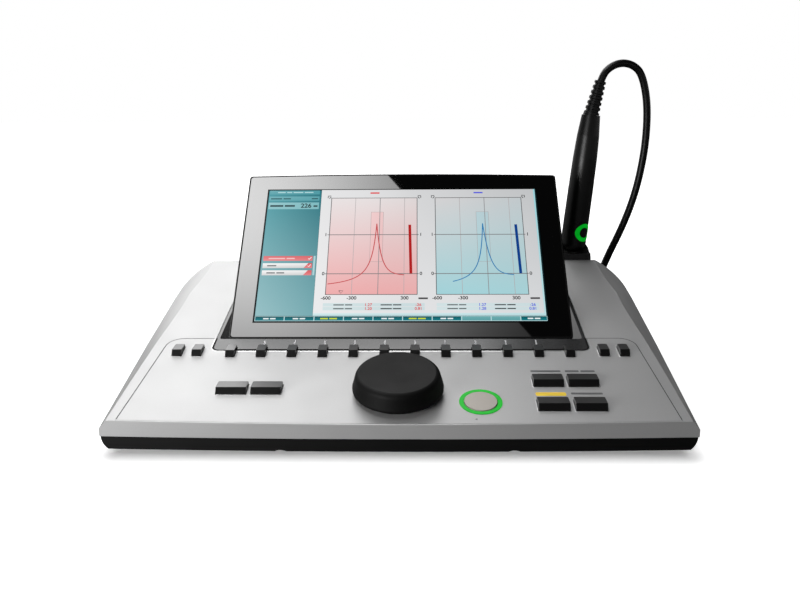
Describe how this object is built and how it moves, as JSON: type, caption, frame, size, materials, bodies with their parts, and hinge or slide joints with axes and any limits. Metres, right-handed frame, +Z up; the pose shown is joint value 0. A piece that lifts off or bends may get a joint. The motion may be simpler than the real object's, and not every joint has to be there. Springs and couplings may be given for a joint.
{
  "type": "tympanometer",
  "caption": "Desk tympanometer: silver wedge console with tilting display, key rows, turning knob, lit enter button and a lift-off hand probe on a long cable.",
  "frame": {"origin": "middle of the footprint, on the table the feet stand on", "axes": "+X to the user's right, +Y to the rear, +Z up; the keyboard faces -Y"},
  "size_m": [0.4142, 0.3953, 0.251],
  "materials": {
    "silver": "fine metallic satin",
    "liner": "satin",
    "base": "matte",
    "key": "satin",
    "knob": "soft-touch matte",
    "disc": "brushed",
    "lit": "lit, translucent",
    "glass": "polished",
    "lcd": "smooth",
    "sheet": "plain sheet",
    "black": "matte",
    "probe": "fine satin",
    "tip": "smooth",
    "cable": "satin",
    "board": "matte",
    "metal": "machined",
    "rubber": "matte",
    "hose": "clear-milky"
  },
  "bodies": {
    "console": {"base_shell": "base", "top_shell": "silver", "keyboard_plate": "silver", "display_bay": "liner", "rubber_feet": "rubber", "case_screws": "metal", "key_board": "board", "key_switches": "black", "knob_encoder": "metal", "enter_light_ring": "lit", "display_hinge_brackets": "metal", "probe_cradle": "black", "probe_cable_coil": "cable", "probe_cable_tail": "cable", "probe_plug": "black", "main_board": "board", "air_pump": "metal", "pump_hose": "hose", "speaker": "black", "probe_socket": "metal", "rear_sockets": "metal", "rocker_frame": "black"},
    "display": {"display_glass": "glass", "lcd_panel": "lcd", "display_chassis": "sheet", "display_rear_cover": "black", "display_hinge_pins": "metal"},
    "knob": {"control_knob": "knob", "knob_shaft": "metal"},
    "enter": {"enter_button": "disc"},
    "probe": {"probe_body": "probe", "probe_nose": "probe", "probe_tip": "tip", "probe_light_ring": "lit", "probe_boot": "cable", "probe_cable": "cable"},
    "probe_button": {"probe_button": "key"},
    "rocker": {"power_rocker": "black"},
    "soft_key_01": {"soft_key_01": "key"},
    "soft_key_02": {"soft_key_02": "key"},
    "soft_key_03": {"soft_key_03": "key"},
    "soft_key_04": {"soft_key_04": "key"},
    "soft_key_05": {"soft_key_05": "key"},
    "soft_key_06": {"soft_key_06": "key"},
    "soft_key_07": {"soft_key_07": "key"},
    "soft_key_08": {"soft_key_08": "key"},
    "soft_key_09": {"soft_key_09": "key"},
    "soft_key_10": {"soft_key_10": "key"},
    "soft_key_11": {"soft_key_11": "key"},
    "soft_key_12": {"soft_key_12": "key"},
    "small_key_left_1": {"small_key_left_1": "key"},
    "small_key_left_2": {"small_key_left_2": "key"},
    "small_key_right_1": {"small_key_right_1": "key"},
    "small_key_right_2": {"small_key_right_2": "key"},
    "wide_key_left_1": {"wide_key_left_1": "key"},
    "wide_key_left_2": {"wide_key_left_2": "key"},
    "wide_key_top_1": {"wide_key_top_1": "key"},
    "wide_key_top_2": {"wide_key_top_2": "key"},
    "wide_key_bottom_1": {"wide_key_bottom_1": "key"},
    "wide_key_bottom_2": {"wide_key_bottom_2": "key"}
  },
  "joints": [
    {"name": "display_tilt", "type": "hinge", "parent": "console", "child": "display", "pos_m": [0, -0.0334, 0.0403], "axis": [1, 0, 0], "range_deg": [-34.35, 25]},
    {"name": "knob_turn", "type": "hinge", "parent": "console", "child": "knob", "pos_m": [0, -0.10892, 0.0305], "axis": [0, -0.2215, 0.9751], "continuous": true},
    {"name": "enter_press", "type": "slide", "parent": "console", "child": "enter", "axis": [0, 0.2215, -0.9751], "range_m": [0, 0.001], "stiffness_N_per_m": 500, "springref_m": -0.0006},
    {"name": "probe_lift", "type": "slide", "parent": "console", "child": "probe", "axis": [0.0941, 0, 0.9956], "range_m": [0, 0.07]},
    {"name": "probe_button_press", "type": "slide", "parent": "probe", "child": "probe_button", "axis": [-0.5991, 0.7986, 0.0566], "range_m": [0, 0.0008], "stiffness_N_per_m": 500, "springref_m": -0.0006},
    {"name": "power_rock", "type": "hinge", "parent": "console", "child": "rocker", "pos_m": [-0.092, 0.14, 0.0222], "axis": [0, 0, 1], "range_deg": [-12, 0]},
    {"name": "soft_key_01_press", "type": "slide", "parent": "console", "child": "soft_key_01", "axis": [0, 0.2215, -0.9751], "range_m": [0, 0.0012], "stiffness_N_per_m": 500, "springref_m": -0.0006},
    {"name": "soft_key_02_press", "type": "slide", "parent": "console", "child": "soft_key_02", "axis": [0, 0.2215, -0.9751], "range_m": [0, 0.0012], "stiffness_N_per_m": 500, "springref_m": -0.0006},
    {"name": "soft_key_03_press", "type": "slide", "parent": "console", "child": "soft_key_03", "axis": [0, 0.2215, -0.9751], "range_m": [0, 0.0012], "stiffness_N_per_m": 500, "springref_m": -0.0006},
    {"name": "soft_key_04_press", "type": "slide", "parent": "console", "child": "soft_key_04", "axis": [0, 0.2215, -0.9751], "range_m": [0, 0.0012], "stiffness_N_per_m": 500, "springref_m": -0.0006},
    {"name": "soft_key_05_press", "type": "slide", "parent": "console", "child": "soft_key_05", "axis": [0, 0.2215, -0.9751], "range_m": [0, 0.0012], "stiffness_N_per_m": 500, "springref_m": -0.0006},
    {"name": "soft_key_06_press", "type": "slide", "parent": "console", "child": "soft_key_06", "axis": [0, 0.2215, -0.9751], "range_m": [0, 0.0012], "stiffness_N_per_m": 500, "springref_m": -0.0006},
    {"name": "soft_key_07_press", "type": "slide", "parent": "console", "child": "soft_key_07", "axis": [0, 0.2215, -0.9751], "range_m": [0, 0.0012], "stiffness_N_per_m": 500, "springref_m": -0.0006},
    {"name": "soft_key_08_press", "type": "slide", "parent": "console", "child": "soft_key_08", "axis": [0, 0.2215, -0.9751], "range_m": [0, 0.0012], "stiffness_N_per_m": 500, "springref_m": -0.0006},
    {"name": "soft_key_09_press", "type": "slide", "parent": "console", "child": "soft_key_09", "axis": [0, 0.2215, -0.9751], "range_m": [0, 0.0012], "stiffness_N_per_m": 500, "springref_m": -0.0006},
    {"name": "soft_key_10_press", "type": "slide", "parent": "console", "child": "soft_key_10", "axis": [0, 0.2215, -0.9751], "range_m": [0, 0.0012], "stiffness_N_per_m": 500, "springref_m": -0.0006},
    {"name": "soft_key_11_press", "type": "slide", "parent": "console", "child": "soft_key_11", "axis": [0, 0.2215, -0.9751], "range_m": [0, 0.0012], "stiffness_N_per_m": 500, "springref_m": -0.0006},
    {"name": "soft_key_12_press", "type": "slide", "parent": "console", "child": "soft_key_12", "axis": [0, 0.2215, -0.9751], "range_m": [0, 0.0012], "stiffness_N_per_m": 500, "springref_m": -0.0006},
    {"name": "small_key_left_1_press", "type": "slide", "parent": "console", "child": "small_key_left_1", "axis": [0, 0.2215, -0.9751], "range_m": [0, 0.0012], "stiffness_N_per_m": 500, "springref_m": -0.0006},
    {"name": "small_key_left_2_press", "type": "slide", "parent": "console", "child": "small_key_left_2", "axis": [0, 0.2215, -0.9751], "range_m": [0, 0.0012], "stiffness_N_per_m": 500, "springref_m": -0.0006},
    {"name": "small_key_right_1_press", "type": "slide", "parent": "console", "child": "small_key_right_1", "axis": [0, 0.2215, -0.9751], "range_m": [0, 0.0012], "stiffness_N_per_m": 500, "springref_m": -0.0006},
    {"name": "small_key_right_2_press", "type": "slide", "parent": "console", "child": "small_key_right_2", "axis": [0, 0.2215, -0.9751], "range_m": [0, 0.0012], "stiffness_N_per_m": 500, "springref_m": -0.0006},
    {"name": "wide_key_left_1_press", "type": "slide", "parent": "console", "child": "wide_key_left_1", "axis": [0, 0.2215, -0.9751], "range_m": [0, 0.0012], "stiffness_N_per_m": 500, "springref_m": -0.0006},
    {"name": "wide_key_left_2_press", "type": "slide", "parent": "console", "child": "wide_key_left_2", "axis": [0, 0.2215, -0.9751], "range_m": [0, 0.0012], "stiffness_N_per_m": 500, "springref_m": -0.0006},
    {"name": "wide_key_top_1_press", "type": "slide", "parent": "console", "child": "wide_key_top_1", "axis": [0, 0.2215, -0.9751], "range_m": [0, 0.0012], "stiffness_N_per_m": 500, "springref_m": -0.0006},
    {"name": "wide_key_top_2_press", "type": "slide", "parent": "console", "child": "wide_key_top_2", "axis": [0, 0.2215, -0.9751], "range_m": [0, 0.0012], "stiffness_N_per_m": 500, "springref_m": -0.0006},
    {"name": "wide_key_bottom_1_press", "type": "slide", "parent": "console", "child": "wide_key_bottom_1", "axis": [0, 0.2215, -0.9751], "range_m": [0, 0.0012], "stiffness_N_per_m": 500, "springref_m": -0.0006},
    {"name": "wide_key_bottom_2_press", "type": "slide", "parent": "console", "child": "wide_key_bottom_2", "axis": [0, 0.2215, -0.9751], "range_m": [0, 0.0012], "stiffness_N_per_m": 500, "springref_m": -0.0006}
  ]
}
